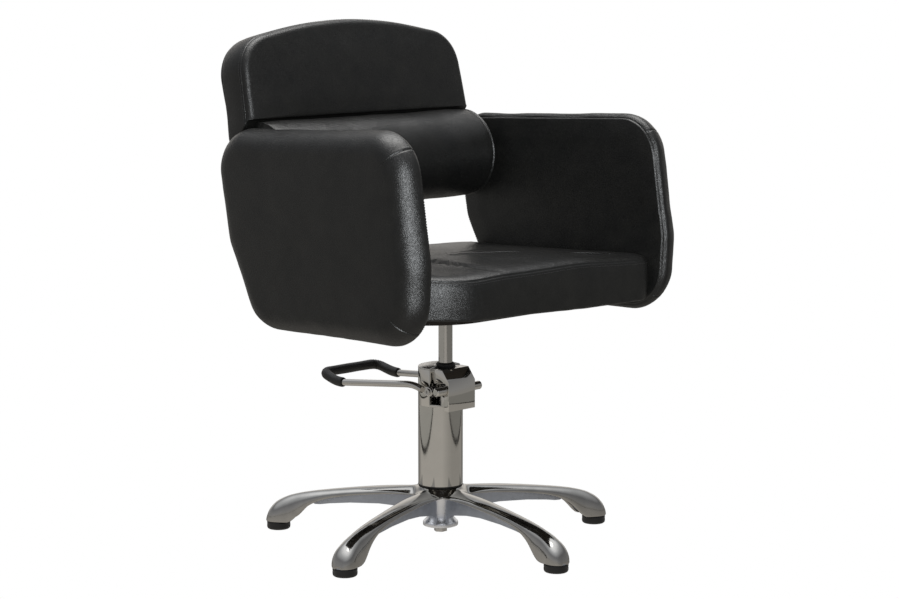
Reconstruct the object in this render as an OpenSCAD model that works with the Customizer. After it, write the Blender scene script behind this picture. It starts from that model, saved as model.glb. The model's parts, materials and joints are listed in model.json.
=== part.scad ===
// Hydraulic styling chair: padded shell seat on a foot-pumped column with a five-leg star base.
// Millimetres. The chair faces -Y, +Z is up, and the origin is on the floor under the piston,
// on the axis that the seat turns about.

/* [Base] */
// Distance from the column axis to each floor glide
glide_radius = 300; // [280:1:320]
// Number of legs in the star
leg_count = 5; // [5:1:6]
// Turn of the star against the pump, about the column
base_turn = -4.7; // [-36:0.1:36]
// Diameter of a floor glide
glide_d = 42; // [38:1:44]
// Height of a floor glide
glide_h = 14; // [10:1:15]
// Width of a leg over its foot
foot_w = 45; // [42:1:48]
// Width of a leg halfway along
leg_w = 35; // [30:1:38]
// Height of the hub's top face
hub_top = 97; // [92:1:104]

/* [Pump] */
// Outer diameter of the column and the head sleeve
column_d = 78.4; // [76:0.1:82]
// Height of the seam between column and head
head_z = 241.5; // [236:0.5:250]
// Height of the head's top face
head_top = 309; // [305:1:312]
// Distance from the column axis forward to the piston axis
piston_offset = 12.5; // [12:0.5:12.5]
// Diameter of the piston rod
rod_d = 24.5; // [24:0.1:24.6]
// Half width of the sheet hood
hood_w = 32.5; // [32:0.5:34]
// Distance from the column axis forward to the hood's front face
hood_front = 53; // [53:0.5:55]

/* [Pedal] */
// Distance from the column axis forward to the pedal's cross shaft
shaft_y = 42.5; // [42:0.5:42.5]
// Height of the cross shaft
shaft_z = 273.5; // [272:0.5:275]
// Half length of the cross shaft
shaft_half = 55; // [52:1:58]
// Diameter of the pedal rod
pedal_d = 12; // [10:0.5:12]
// Diameter of the rubber grip
grip_d = 17.5; // [16:0.5:20]
// Reach of the pedal behind the column axis
pedal_reach = 234; // [220:1:250]

/* [Seat] */
// Half width between the arms' inner faces, at their front
arm_x = 282; // [278:1:286]
// Height of the seat's underside
seat_z = 428; // [428:1:430]
// Height of the seat's top seam at the front
seat_top = 500; // [495:1:508]
// Front edge of the seat, forward of the piston
seat_front = 238; // [230:1:240]
// Rear edge of the seat, behind the piston
seat_rear = 214; // [205:1:216]
// Thickness of the seat board
board_t = 18; // [15:1:20]

/* [Arms] */
// Thickness of a padded arm
arm_t = 51; // [46:1:54]
// Turn of each arm inwards towards the rear
arm_toe = 1.45; // [0:0.05:1.5]
// Swell of an arm's rim beyond its seam
arm_crown = 8; // [4:1:10]
// Radius that rounds an arm's rim into its outer face
arm_round = 40; // [34:1:42]

/* [Back] */
// Height of the bolster's axis
back_z = 658; // [650:1:665]
// Distance of the bolster's axis behind the piston
back_y = 200; // [196:1:202]
// Lean of the back
back_lean = 12; // [10:1:14]
// Radius of the bolster
bolster_r = 80; // [76:1:81]
// Half length of the bolster
bolster_half = 249; // [246:1:254]
// Half width of the upper cushion, at its shoulders
back_w = 262; // [252:1:262]
// Height of the upper cushion above the bolster's axis
back_h = 255; // [246:1:260]

/* [Hidden] */
$fn = 96;

leg_step = 360 / leg_count;
col_r = column_d / 2;
rod_r = rod_d / 2;
piston_y = -piston_offset;
bore_play = 0.05;

// Leg outline, as heights along the radius
leg_start = 240;
leg_fall = 26;
foot_end = glide_radius + foot_w / 2;
foot_top = 56;
leg_depth = 18;
heel_start = 205;
heel_end = glide_radius - foot_w / 2;
web_w = 10;
web_foot = 222;
boss_r = 20;
boss_low = 24;
flange_r = 31;
stud_r = 8;

// Hydraulic pump
gasket_t = 3;
column_low = hub_top + gasket_t;
column_wall = 2.5;
cyl_out = 16.3;
cyl_in = 14;
cyl_low = column_low + 10;
cyl_top = head_top - 2;
bush_low = 282;
floor_t = 4.5;
floor_top = head_z + floor_t;
ear_in = 24;
ear_out = 30.6;
shaft_r = 7.5;
ring_r = 9.2;
sheet_t = 1.2;
hood_inner = hood_front - sheet_t;
hood_slope_z = 288;
hood_slope_y = 37;
hood_low = 237.6;
notch_z = 283;
lip_y = 42;
front_cut = 11;
collar_r = 16.5;
collar_top = head_top + 8;
plunger_y = 33;
plunger_r = 2.6;
plunger_top = 266;
barrel_top = 256;
barrel_r = 4.1;
button_t = 3;
button_r = 3.4;
spring_wire = 1;
spring_r = 3.4;
spring_turns = 3.5;
roller_r = 2.2;
ear_back = 33;
bar_front = 28;
bar_y = 17;
bar_low = 262.5;
piston_low = 176;
piston_h = 10;
ball_r = 5;
rod_low = piston_low + piston_h + 0.3;
rod_top = seat_z - 2;

// Pedal rod, given by its corners as [x, y, z] on the chair's left side
eye_x = 46;
eye_t = 6;
eye_y = 22;
eye_z = 272;
rod_sides = 16;
bend_r = 12;
bend_steps = 4;
pedal_path = [
    [eye_x + eye_t + 1, -eye_y + 13, eye_z + 2.5],
    [52, 14, 281],
    [69.5, 190, 264],
    [66, pedal_reach, 276]
];
grip_end = pedal_path[2] + (bend_r + 2) * unit(pedal_path[1] - pedal_path[2]);
grip_path = [grip_end, pedal_path[2], pedal_path[3]];

// Seat and its steelwork
cushion_r = 48;
front_corners = [130, 40];
seat_slope = 1.7;
seat_taper = (seat_front + seat_rear) * tan(arm_toe);
hub_low = 390;
hub_r = 26;
plate_t = 5;
plate_w = 210;
plate_hole = 80;
bracket_t = 4;
bracket_w = 60;
bracket_in = 120;
arm_bolt_z = 418;
arm_bolt_y = 45;
arm_bolt_r = 3;
bracket_low = 402;
board_inset = 14;

// Arm outline: rounded corners as [distance forward of the piston, height, radius]
arm_corners = [
    [160, 667, 70], [152, 530, 100], [176, 481, 73],
    [-104, 462, 60], [-146, 560, 69], [-172, 661, 62]
];
arm_pivot = 250;
core_inset = 8;
core_t = 18;
core_x = arm_x + 9;

// Back, in its own leaning frame
board_front = 38;
back_board_t = 12;
back_cover_t = 6;
cushion_front = -18;
back_round = 72;
back_arch = 22;
back_flare = 5;
back_corner = 14.5;
crease_s = 83;
cover_low = -66;
flange_y = 0;
back_bolt_s = [-22, 26];
flange_end = 12;
flange_h = back_bolt_s[1] - back_bolt_s[0] + 2 * flange_end;

// The base and pump stand behind the piston's axis
module at_column() {
    translate([0, piston_offset, 0]) children();
}

module at_legs() {
    for (i = [0:leg_count - 1])
        rotate([0, 0, base_turn - 90 + i * leg_step]) children();
}

// The same corner points on the chair's other side, in reverse order
function mirrored(points) =
    [for (i = [len(points) - 1:-1:0]) [-points[i][0], points[i][1], points[i][2]]];

function unit(v) = v / norm(v);

// A path whose inner corners are rounded by short curves
function rounded(p) = concat(
    [p[0]],
    [for (i = [1:len(p) - 2], k = [0:bend_steps])
        let(
            t = k / bend_steps,
            a = p[i] + bend_r * unit(p[i - 1] - p[i]),
            b = p[i] + bend_r * unit(p[i + 1] - p[i])
        )
        (1 - t) * (1 - t) * a + 2 * t * (1 - t) * p[i] + t * t * b],
    [p[len(p) - 1]]
);

// One ring of points around a path
function ring(p, i, r) =
    let(
        along = unit(p[min(i + 1, len(p) - 1)] - p[max(i - 1, 0)]),
        side = unit(cross(along, [0, 0, 1])),
        up = cross(side, along)
    )
    [for (k = [0:rod_sides - 1])
        let(a = k * 360 / rod_sides) p[i] + r * (cos(a) * side + sin(a) * up)];

// A round rod along a list of corner points
module rod_path(corners, d) {
    path = rounded(corners);
    last = len(path) - 1;
    points = [for (i = [0:last]) each ring(path, i, d / 2)];
    walls = [for (i = [0:last - 1], k = [0:rod_sides - 1])
        let(a = i * rod_sides + k, b = i * rod_sides + (k + 1) % rod_sides)
        each [[a, b, b + rod_sides], [a, b + rod_sides, a + rod_sides]]];
    first_cap = [for (k = [rod_sides - 1:-1:0]) k];
    last_cap = [for (k = [0:rod_sides - 1]) last * rod_sides + k];
    polyhedron(points, concat(walls, [first_cap, last_cap]), convexity = 8);
}

function leg_height(r) = hub_top - 3 - leg_fall * pow(r / 255, 1.8);

module leg_side() {
    top = [for (r = [20:20:leg_start]) [r, leg_height(r)]];
    toe = [for (a = [80:-10:0]) [
        leg_start + (foot_end - leg_start) * cos(a),
        glide_h + foot_top * sin(a)
    ]];
    heel = [for (a = [0:15:90]) [
        heel_start + (heel_end - heel_start) * cos(a),
        glide_h + 36 * sin(a)
    ]];
    inner = [for (r = [180:-40:20]) [r, leg_height(r) - leg_depth]];
    polygon(concat(top, toe, heel, inner));
}

module leg_plan() {
    polygon([
        [10, -leg_w / 2 - 4], [60, -leg_w / 2 - 1], [150, -leg_w / 2], [230, -leg_w / 2],
        [270, -foot_w / 2 + 2], [glide_radius, -foot_w / 2], [glide_radius, foot_w / 2],
        [270, foot_w / 2 - 2], [230, leg_w / 2], [150, leg_w / 2], [60, leg_w / 2 + 1],
        [10, leg_w / 2 + 4]
    ]);
    translate([glide_radius, 0]) circle(d = foot_w);
}

module leg() {
    intersection() {
        rotate([90, 0, 0]) linear_extrude(foot_w + 4, center = true) leg_side();
        linear_extrude(hub_top) leg_plan();
    }
    // Deep cast web under the inner part of the leg
    rotate([90, 0, 0]) linear_extrude(web_w, center = true)
        polygon([[10, 34], [34, 50], [web_foot, 49], [heel_start, 62], [10, hub_top - 12]]);
}

module star_base() {
    color("silver") at_column() difference() {
        union() {
            at_legs() leg();
            rotate_extrude() polygon([
                [0, boss_low], [flange_r, boss_low], [flange_r, boss_low + 6],
                [boss_r, boss_low + 16], [boss_r, 72], [48, 72], [46, 84], [40, hub_top], [0, hub_top]
            ]);
        }
        translate([0, 0, boss_low - 1]) cylinder(h = hub_top, r = stud_r + bore_play);
        at_legs() translate([glide_radius, 0, glide_h - 1]) cylinder(h = 20, r = 5);
    }
}

module floor_glides() {
    color("black") at_column() at_legs() translate([glide_radius, 0, 0]) difference() {
        rotate_extrude() polygon([
            [0, 0], [glide_d / 2 - 2, 0], [glide_d / 2, 2], [glide_d / 2, glide_h], [0, glide_h]
        ]);
        translate([0, 0, 4]) cylinder(h = glide_h, r = 5);
    }
}

module glide_screws() {
    color("dimgray") at_column() at_legs() translate([glide_radius, 0, 4]) cylinder(h = 28, r = 5);
}

module base_washer() {
    color("silver") at_column() translate([0, 0, boss_low - 3]) difference() {
        cylinder(h = 3, r = 18);
        translate([0, 0, -1]) cylinder(h = 5, r = stud_r + bore_play);
    }
}

module base_bolt() {
    color("silver") at_column() translate([0, 0, boss_low - 11]) {
        cylinder(h = 8, r = 12, $fn = 6);
        cylinder(h = column_low + 16 - boss_low, r = stud_r);
    }
}

module gasket_ring() {
    color("black") at_column() translate([0, 0, hub_top]) difference() {
        cylinder(h = gasket_t, r = col_r);
        translate([0, 0, -1]) cylinder(h = gasket_t + 2, r = stud_r + bore_play);
    }
}

module column_plug() {
    color("dimgray") at_column() translate([0, 0, column_low]) difference() {
        cylinder(h = 10, r = col_r - column_wall);
        translate([0, 0, -1]) cylinder(h = 6.5, r = stud_r);
    }
}

module pump_column() {
    color("gainsboro") at_column() translate([0, 0, column_low]) difference() {
        cylinder(h = head_z - column_low, r = col_r);
        translate([0, 0, -1]) cylinder(h = head_z, r = col_r - column_wall);
    }
}

module inner_cylinder() {
    color("slategray") at_column() translate([0, piston_y, cyl_low]) difference() {
        cylinder(h = cyl_top - cyl_low, r = cyl_out);
        translate([0, 0, 3]) cylinder(h = cyl_top, r = cyl_in);
    }
}

module guide_bush() {
    color("peru") at_column() translate([0, piston_y, bush_low]) difference() {
        cylinder(h = cyl_top - bush_low, r = cyl_in);
        translate([0, 0, -1]) cylinder(h = cyl_top, r = rod_r + bore_play);
    }
}

module wiper_collar() {
    color("black") at_column() translate([0, piston_y, cyl_top]) difference() {
        rotate_extrude() polygon([
            [0, 0], [collar_r, 0], [collar_r, collar_top - cyl_top - 2],
            [collar_r - 2, collar_top - cyl_top], [0, collar_top - cyl_top]
        ]);
        translate([0, 0, -1]) cylinder(h = 20, r = rod_r + 2 * bore_play);
    }
}

module pump_head() {
    color("gainsboro") at_column() difference() {
        union() {
            // Spigot inside the column, and the head's floor
            translate([0, 0, head_z - 14]) cylinder(h = 14, r = col_r - column_wall);
            translate([0, 0, head_z]) cylinder(h = floor_t, r = col_r);
            translate([-ear_out, -hood_inner, head_z]) cube([2 * ear_out, 40, floor_t]);
            // Sleeve, open at the front
            intersection() {
                translate([0, 0, head_z]) cylinder(h = cyl_top - head_z, r = col_r);
                translate([-50, -front_cut, head_z]) cube([100, 100, 100]);
            }
            // Bridge that holds the top of the cylinder
            translate([-ear_out + 4, -hood_slope_y + 4, cyl_top - 6])
                cube([2 * ear_out - 8, hood_slope_y, 6]);
            // Ears that carry the cross shaft
            for (side = [-1, 1])
                translate([
                    side * (ear_in + ear_out) / 2,
                    -(hood_inner + ear_back) / 2,
                    (floor_top + notch_z) / 2
                ])
                    cube([ear_out - ear_in, hood_inner - ear_back, notch_z - floor_top], center = true);
        }
        // Hollow of the sleeve and of the spigot
        intersection() {
            translate([0, 0, floor_top]) cylinder(h = cyl_top - 6 - floor_top, r = col_r - 4);
            translate([-50, -front_cut - 1, head_z]) cube([100, 100, 100]);
        }
        translate([0, 0, head_z - 15]) cylinder(h = 15, r = col_r - 7);
        translate([0, piston_y, head_z - 1]) cylinder(h = 100, r = cyl_out);
        translate([-60, -shaft_y, shaft_z])
            rotate([0, 90, 0]) cylinder(h = 120, r = shaft_r + bore_play);
    }
}

module head_cap() {
    color("lightgray") at_column() difference() {
        translate([0, 0, cyl_top]) rotate_extrude() polygon([
            [0, 0], [col_r, 0], [col_r, 2.4], [col_r - 2, 3.4], [col_r - 12, 6], [0, 7.5]
        ]);
        translate([-50, -100 - front_cut, 0]) cube([100, 100, 400]);
        translate([0, piston_y, 0]) cylinder(h = 400, r = collar_r);
    }
}

module hood() {
    color("gainsboro") at_column() difference() {
        rotate([90, 0, -90]) linear_extrude(2 * hood_w, center = true) polygon([
            [front_cut, notch_z], [front_cut, head_top], [hood_slope_y, head_top],
            [hood_front, hood_slope_z], [hood_front, hood_low], [lip_y, hood_low], [lip_y, notch_z]
        ]);
        rotate([90, 0, -90]) linear_extrude(2 * (hood_w - sheet_t), center = true) polygon([
            [0, 200], [0, head_top - sheet_t], [hood_slope_y - 0.6, head_top - sheet_t],
            [hood_inner, hood_slope_z - 0.6], [hood_inner, 200]
        ]);
        translate([-60, -shaft_y, shaft_z]) rotate([0, 90, 0]) cylinder(h = 120, r = shaft_r + 0.3);
        translate([0, piston_y, head_top - 5]) cylinder(h = 10, r = collar_r);
    }
}

module plunger_barrel() {
    color("dimgray") at_column() translate([0, -plunger_y, floor_top]) difference() {
        cylinder(h = barrel_top - floor_top, r = barrel_r);
        translate([0, 0, 1]) cylinder(h = barrel_top, r = plunger_r + bore_play);
    }
}

module plunger() {
    color("silver") at_column() translate([0, -plunger_y, 0]) {
        translate([0, 0, floor_top + 5]) cylinder(h = plunger_top - floor_top - 5, r = plunger_r);
        translate([0, 0, plunger_top - button_t]) cylinder(h = button_t, r = button_r);
    }
}

module plunger_spring() {
    rise = plunger_top - button_t - barrel_top;
    color("gray") at_column() translate([0, -plunger_y, barrel_top])
        for (i = [0:spring_turns])
            translate([0, 0, spring_wire / 2 + i * (rise - spring_wire) / spring_turns])
                rotate_extrude() translate([spring_r, 0]) circle(d = spring_wire, $fn = 16);
}

module cross_shaft() {
    color("silver") at_column() translate([0, -shaft_y, shaft_z]) rotate([0, 90, 0]) rotate_extrude() polygon([
        [0, -shaft_half], [shaft_r - 2, -shaft_half], [shaft_r, 2 - shaft_half],
        [shaft_r, shaft_half - 2], [shaft_r - 2, shaft_half], [0, shaft_half]
    ]);
}

module lever_hub() {
    color("gray") at_column() difference() {
        union() {
            // Ring on the shaft between the ears, with the pressing nose
            translate([-ear_in + 0.5, -shaft_y, shaft_z]) rotate([0, 90, 0])
                cylinder(h = 2 * ear_in - 1, r = ring_r);
            translate([-4, -plunger_y, plunger_top + 0.3 + roller_r]) rotate([0, 90, 0])
                cylinder(h = 8, r = roller_r);
            translate([-4, -plunger_y - 4, plunger_top + 0.3 + roller_r]) cube([8, 6, 6]);
            for (side = [0, 1]) mirror([side, 0, 0]) {
                // Cheeks pass behind the ears and out under the hood
                translate([18.5, -shaft_y, bar_low]) cube([5, shaft_y - bar_y, shaft_z - bar_low]);
                translate([18.5, -bar_front, bar_low])
                    cube([eye_x - 18.5, bar_front - bar_y, shaft_z - bar_low]);
                translate([eye_x - 10, -eye_y, eye_z]) rotate([0, 90, 0]) cylinder(h = 10, r = 8.5);
            }
        }
        translate([-60, -shaft_y, shaft_z]) rotate([0, 90, 0]) cylinder(h = 120, r = shaft_r);
        for (side = [-1, 1])
            translate([side * 41, -eye_y, eye_z]) rotate([0, 90, 0]) cylinder(h = 30, r = 3, center = true);
        translate([0, piston_y, 0]) cylinder(h = 400, r = cyl_out + 1.2);
    }
}

module pedal_lever() {
    color("gainsboro") at_column() difference() {
        union() {
            rod_path(concat(pedal_path, mirrored(pedal_path)), pedal_d);
            for (side = [0, 1]) mirror([side, 0, 0])
                translate([eye_x, -eye_y, eye_z]) {
                    rotate([0, 90, 0]) cylinder(h = eye_t, r = 8.5);
                    translate([0, 0, -4]) cube([eye_t, 13, 9]);
                }
        }
        for (side = [-1, 1]) translate([side * eye_x, -eye_y, eye_z]) rotate([0, 90, 0])
            cylinder(h = 30, r = 3, center = true);
    }
}

module pedal_grip() {
    color("black") at_column() difference() {
        rod_path(concat(grip_path, mirrored(grip_path)), grip_d);
        rod_path(concat(grip_path, mirrored(grip_path)), pedal_d);
    }
}

module lever_bolts() {
    color("silver") at_column() for (side = [-1, 1])
        translate([side * (eye_x + eye_t), -eye_y, eye_z]) rotate([0, side * 90, 0]) difference() {
            union() {
                cylinder(h = 3.5, r = 6);
                translate([0, 0, -15]) cylinder(h = 15, r = 3);
            }
            translate([0, 0, 1]) cylinder(h = 5, r = 2.6, $fn = 6);
        }
}

module piston_head() {
    color("dimgray") at_column() translate([0, piston_y, piston_low]) difference() {
        cylinder(h = piston_h, r = cyl_in - bore_play);
        translate([0, 0, piston_h - ball_r]) cylinder(h = ball_r + 1, r = ball_r + 0.1);
    }
}

module thrust_ball() {
    color("silver") at_column() translate([0, piston_y, piston_low + piston_h]) sphere(r = ball_r);
}

module piston_rod() {
    color("gainsboro") difference() {
        translate([0, 0, rod_low]) cylinder(h = rod_top - rod_low, r = rod_r);
        translate([0, 0, rod_low - 1]) cylinder(h = ball_r + 1, r = ball_r + 0.3);
    }
}

module seat_hub() {
    color("black") difference() {
        union() {
            translate([0, 0, hub_low]) cylinder(h = seat_z - plate_t - hub_low, r = hub_r);
            for (a = [0:90:270]) rotate([0, 0, a]) rotate([90, 0, 0])
                linear_extrude(5, center = true) polygon([
                    [hub_r - 2, hub_low + 4], [hub_r, hub_low + 4], [80, seat_z - plate_t - 4],
                    [80, seat_z - plate_t], [hub_r - 2, seat_z - plate_t]
                ]);
        }
        translate([0, 0, hub_low - 1]) cylinder(h = 100, r = rod_r);
    }
}

module at_plate_bolts() {
    for (x = [-1, 1], y = [-1, 1]) translate([x * plate_hole, y * plate_hole, 0]) children();
}

module mount_plate() {
    color("black") difference() {
        translate([0, 0, seat_z - plate_t / 2]) cube([plate_w, plate_w, plate_t], center = true);
        at_plate_bolts() translate([0, 0, seat_z - 20]) cylinder(h = 40, r = 4);
        translate([0, 0, hub_low]) cylinder(h = 100, r = rod_r);
    }
}

module mount_bolts() {
    color("silver") at_plate_bolts() {
        translate([0, 0, seat_z - plate_t - 5]) cylinder(h = 5, r = 7, $fn = 6);
        translate([0, 0, seat_z - plate_t]) cylinder(h = plate_t + board_t - 2, r = 4);
    }
}

module at_bracket_bolts(side) {
    for (x = [165, 230], y = [-20, 20]) translate([side * x, y, 0]) children();
}

// An arm's own place: it turns about its front edge
module at_arm(side) {
    scale([side, 1, 1]) translate([arm_x, -arm_pivot, 0]) rotate([0, 0, arm_toe])
        translate([-arm_x, arm_pivot, 0]) children();
}

// Everything beyond an arm's inner face
module arm_side(play) {
    at_arm(1) translate([arm_x - play, -500, 0]) cube([200, 1000, 1000]);
}

module seat_outline(inset) {
    hull() for (x = [-1, 1]) {
        // The cushion is rounder at the sitter's right
        corner = front_corners[(x + 1) / 2];
        side = arm_x - 2 - corner * tan(arm_toe);
        translate([x * (side - corner), -seat_front + corner]) circle(corner - inset);
        translate([x * (arm_x - 2 - seat_taper - cushion_r), seat_rear - cushion_r])
            circle(cushion_r - inset, $fn = 32);
    }
}

module seat_board() {
    color("saddlebrown") difference() {
        translate([0, 0, seat_z]) linear_extrude(board_t) seat_outline(board_inset);
        at_plate_bolts() translate([0, 0, seat_z - 1]) cylinder(h = board_t - 1, r = 4);
        for (side = [-1, 1]) at_bracket_bolts(side)
            translate([0, 0, seat_z - 1]) cylinder(h = board_t - 1, r = 3);
    }
}

module seat_cushion() {
    color("#252627") translate([0, 0, seat_z]) difference() {
        hull() {
            linear_extrude(50) seat_outline(0);
            translate([0, 0, seat_top - seat_z - 6]) rotate([-seat_slope, 0, 0])
                linear_extrude(1) seat_outline(12);
        }
        translate([0, 0, -1]) linear_extrude(board_t + 1.3) seat_outline(board_inset - 0.3);
    }
}

module arm_bracket(side) {
    color("black") scale([side, 1, 1]) difference() {
        union() {
            difference() {
                translate([bracket_in, -bracket_w, seat_z - bracket_t])
                    cube([arm_x - bracket_in, 2 * bracket_w, bracket_t]);
                arm_side(0.3);
            }
            at_arm(1) translate([arm_x - 0.3 - bracket_t, -bracket_w, bracket_low])
                cube([bracket_t, 2 * bracket_w, seat_z - bracket_low]);
        }
        at_bracket_bolts(1) translate([0, 0, seat_z - 10]) cylinder(h = 20, r = 3);
        for (y = [-arm_bolt_y, arm_bolt_y])
            at_arm(1) translate([arm_x - 10, y, arm_bolt_z])
                rotate([0, 90, 0]) cylinder(h = 20, r = arm_bolt_r);
    }
}

module bracket_bolts() {
    color("silver") for (side = [-1, 1]) at_bracket_bolts(side) {
        translate([0, 0, seat_z - bracket_t - 4]) cylinder(h = 4, r = 5.5, $fn = 6);
        translate([0, 0, seat_z - bracket_t]) cylinder(h = bracket_t + 14, r = 3);
    }
}

module arm_bolts() {
    color("silver") for (side = [-1, 1], y = [-arm_bolt_y, arm_bolt_y]) at_arm(side)
        translate([arm_x - 0.3 - bracket_t, y, arm_bolt_z]) rotate([0, 90, 0]) {
            translate([0, 0, -4.5]) cylinder(h = 4.5, r = 5.3, $fn = 6);
            cylinder(h = core_x + core_t - 4 - arm_x + bracket_t, r = arm_bolt_r);
        }
}

module arm_outline(inset) {
    hull() for (c = arm_corners)
        translate([-c[0], c[1]]) circle(c[2] - inset, $fn = 32);
}

// Extrudes a Y-Z outline along +X
module along_x(x, length) {
    translate([x, 0, 0]) rotate([90, 0, 90]) linear_extrude(length) children();
}

module arm_core(side) {
    color("saddlebrown") at_arm(side) difference() {
        along_x(core_x, core_t) arm_outline(core_inset);
        for (y = [-arm_bolt_y, arm_bolt_y])
            translate([core_x - 1, y, arm_bolt_z])
                rotate([0, 90, 0]) cylinder(h = core_t - 3, r = arm_bolt_r);
        back_bolt_spots() translate([core_x - 1, 0, 0])
            rotate([0, 90, 0]) cylinder(h = core_t - 3, r = arm_bolt_r);
    }
}

// One rounded corner of an arm, as a thick disc whose rim swells and then rounds outwards
module arm_disc(r) {
    rim = [for (a = [0:15:90]) [
        r + arm_crown - arm_round + arm_round * cos(a),
        arm_t - arm_round + arm_round * sin(a)
    ]];
    rotate_extrude($fn = 32) polygon(concat([[0, 0], [r, 0], [r + 5, 4]], rim, [[0, arm_t]]));
}

module arm_pad(side) {
    color("#252627") at_arm(side) difference() {
        hull() for (c = arm_corners)
            translate([arm_x, -c[0], c[1]]) rotate([90, 0, 90]) arm_disc(c[2]);
        along_x(core_x, core_t) arm_outline(core_inset);
        for (y = [-arm_bolt_y, arm_bolt_y])
            translate([arm_x - 1, y, arm_bolt_z]) rotate([0, 90, 0]) cylinder(h = 12, r = arm_bolt_r);
        back_bolt_spots() translate([arm_x - 1, 0, 0]) rotate([0, 90, 0]) cylinder(h = 12, r = arm_bolt_r);
    }
}

// The back's leaning frame: -Y forwards, +Z up along the back, at the bolster's axis
module in_back() {
    translate([0, back_y, back_z]) rotate([-back_lean, 0, 0]) children();
}

module back_bolt_spots() {
    in_back() for (s = back_bolt_s) translate([0, flange_y, s]) children();
}

module back_outline(inset) {
    hull() {
        for (x = [-1, 1]) {
            translate([x * (back_w - back_round), back_h - back_arch - back_round])
                circle(back_round - inset, $fn = 32);
            translate([x * (back_w + back_flare - back_corner), crease_s + back_corner])
                circle(back_corner - inset, $fn = 32);
        }
        polygon([for (x = [-180:30:180]) [
            x, back_h - inset - back_arch * pow(x / (back_w - back_round), 2)
        ]]);
    }
}

module slab(y, t) {
    translate([0, y + t, 0]) rotate([90, 0, 0]) linear_extrude(t) children();
}

module back_board_outline(inset) {
    intersection() {
        back_outline(inset);
        translate([0, 300 + crease_s]) square([600, 600], center = true);
    }
    translate([0, (cover_low + crease_s) / 2 + 20])
        square([2 * (bolster_half - inset), crease_s - cover_low + 40], center = true);
}

module back_board() {
    color("saddlebrown") in_back() difference() {
        slab(board_front, back_board_t) back_board_outline(14);
        for (x = [-1, 1], s = back_bolt_s)
            translate([x * 180, board_front - 1, s]) rotate([-90, 0, 0]) cylinder(h = 30, r = 3);
    }
}

module back_cover() {
    color("#252627") in_back() difference() {
        slab(board_front + back_board_t, back_cover_t) back_board_outline(4);
        for (side = [-1, 1]) scale([side, 1, 1]) bracket_bar(0.3);
        for (x = [-1, 1], s = back_bolt_s)
            translate([x * 180, board_front, s]) rotate([-90, 0, 0]) cylinder(h = 30, r = 7);
    }
}

module upper_cushion() {
    color("#252627") in_back() difference() {
        hull() {
            slab(cushion_front + 12, board_front + back_board_t - cushion_front - 12) back_outline(0);
            slab(cushion_front, 1) back_outline(12);
        }
        slab(board_front, back_board_t + 1) back_board_outline(13.7);
    }
}

module lumbar_bolster() {
    color("#252627") in_back() difference() {
        rotate([0, 90, 0]) cylinder(h = 2 * bolster_half, r = bolster_r, center = true);
        translate([-300, board_front, -200]) cube([600, 200, 400]);
        translate([-300, -200, crease_s - 0.4]) cube([600, 400, 200]);
    }
}

// Steel bar behind the board, running out to the arm
module bracket_bar(play) {
    translate([140 - play, board_front + back_board_t - play, back_bolt_s[0] - flange_end - play])
        cube([arm_x - 140, bracket_t + 2 * play, flange_h + 2 * play]);
}

module back_bracket(side) {
    color("black") scale([side, 1, 1]) difference() {
        union() {
            difference() {
                in_back() bracket_bar(0);
                arm_side(0.5);
            }
            at_arm(1) in_back()
                translate([arm_x - 0.5 - bracket_t, flange_y - 14, back_bolt_s[0] - flange_end])
                    cube([bracket_t, board_front + back_board_t + bracket_t - flange_y + 14, flange_h]);
        }
        for (s = back_bolt_s) {
            in_back() translate([180, 0, s]) rotate([-90, 0, 0]) cylinder(h = 80, r = 3);
            at_arm(1) in_back() translate([arm_x - 20, flange_y, s])
                rotate([0, 90, 0]) cylinder(h = 40, r = arm_bolt_r);
        }
    }
}

module back_bolts() {
    color("silver") for (side = [-1, 1], s = back_bolt_s) {
        scale([side, 1, 1]) in_back() translate([180, board_front + 1, s]) rotate([-90, 0, 0]) {
            cylinder(h = back_board_t + bracket_t - 1, r = 3);
            translate([0, 0, back_board_t + bracket_t - 1]) cylinder(h = 3.5, r = 5.5, $fn = 6);
        }
        at_arm(side) in_back() translate([arm_x - 0.5 - bracket_t, flange_y, s]) rotate([0, 90, 0]) {
            translate([0, 0, -4.5]) cylinder(h = 4.5, r = 5.3, $fn = 6);
            cylinder(h = core_x + core_t - 4 - arm_x + bracket_t, r = arm_bolt_r);
        }
    }
}

star_base();
floor_glides();
glide_screws();
base_washer();
base_bolt();
gasket_ring();
column_plug();
pump_column();
inner_cylinder();
guide_bush();
wiper_collar();
pump_head();
head_cap();
hood();
plunger_barrel();
plunger();
plunger_spring();
cross_shaft();
lever_hub();
pedal_lever();
pedal_grip();
lever_bolts();
piston_head();
thrust_ball();
piston_rod();
seat_hub();
mount_plate();
mount_bolts();
seat_board();
seat_cushion();
arm_bracket(1);  // arm_bracket_left
arm_bracket(-1);  // arm_bracket_right
bracket_bolts();
arm_bolts();
arm_core(1);  // arm_core_left
arm_core(-1);  // arm_core_right
arm_pad(1);  // arm_pad_left
arm_pad(-1);  // arm_pad_right
back_board();
back_cover();
upper_cushion();
lumbar_bolster();
back_bracket(1);  // back_bracket_left
back_bracket(-1);  // back_bracket_right
back_bolts();
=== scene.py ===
"""Looks of a hydraulic styling chair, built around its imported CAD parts. Metres; the chair faces -Y."""
import json
import math

import bmesh
import bpy
import numpy as np
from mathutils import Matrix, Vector, kdtree

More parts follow.
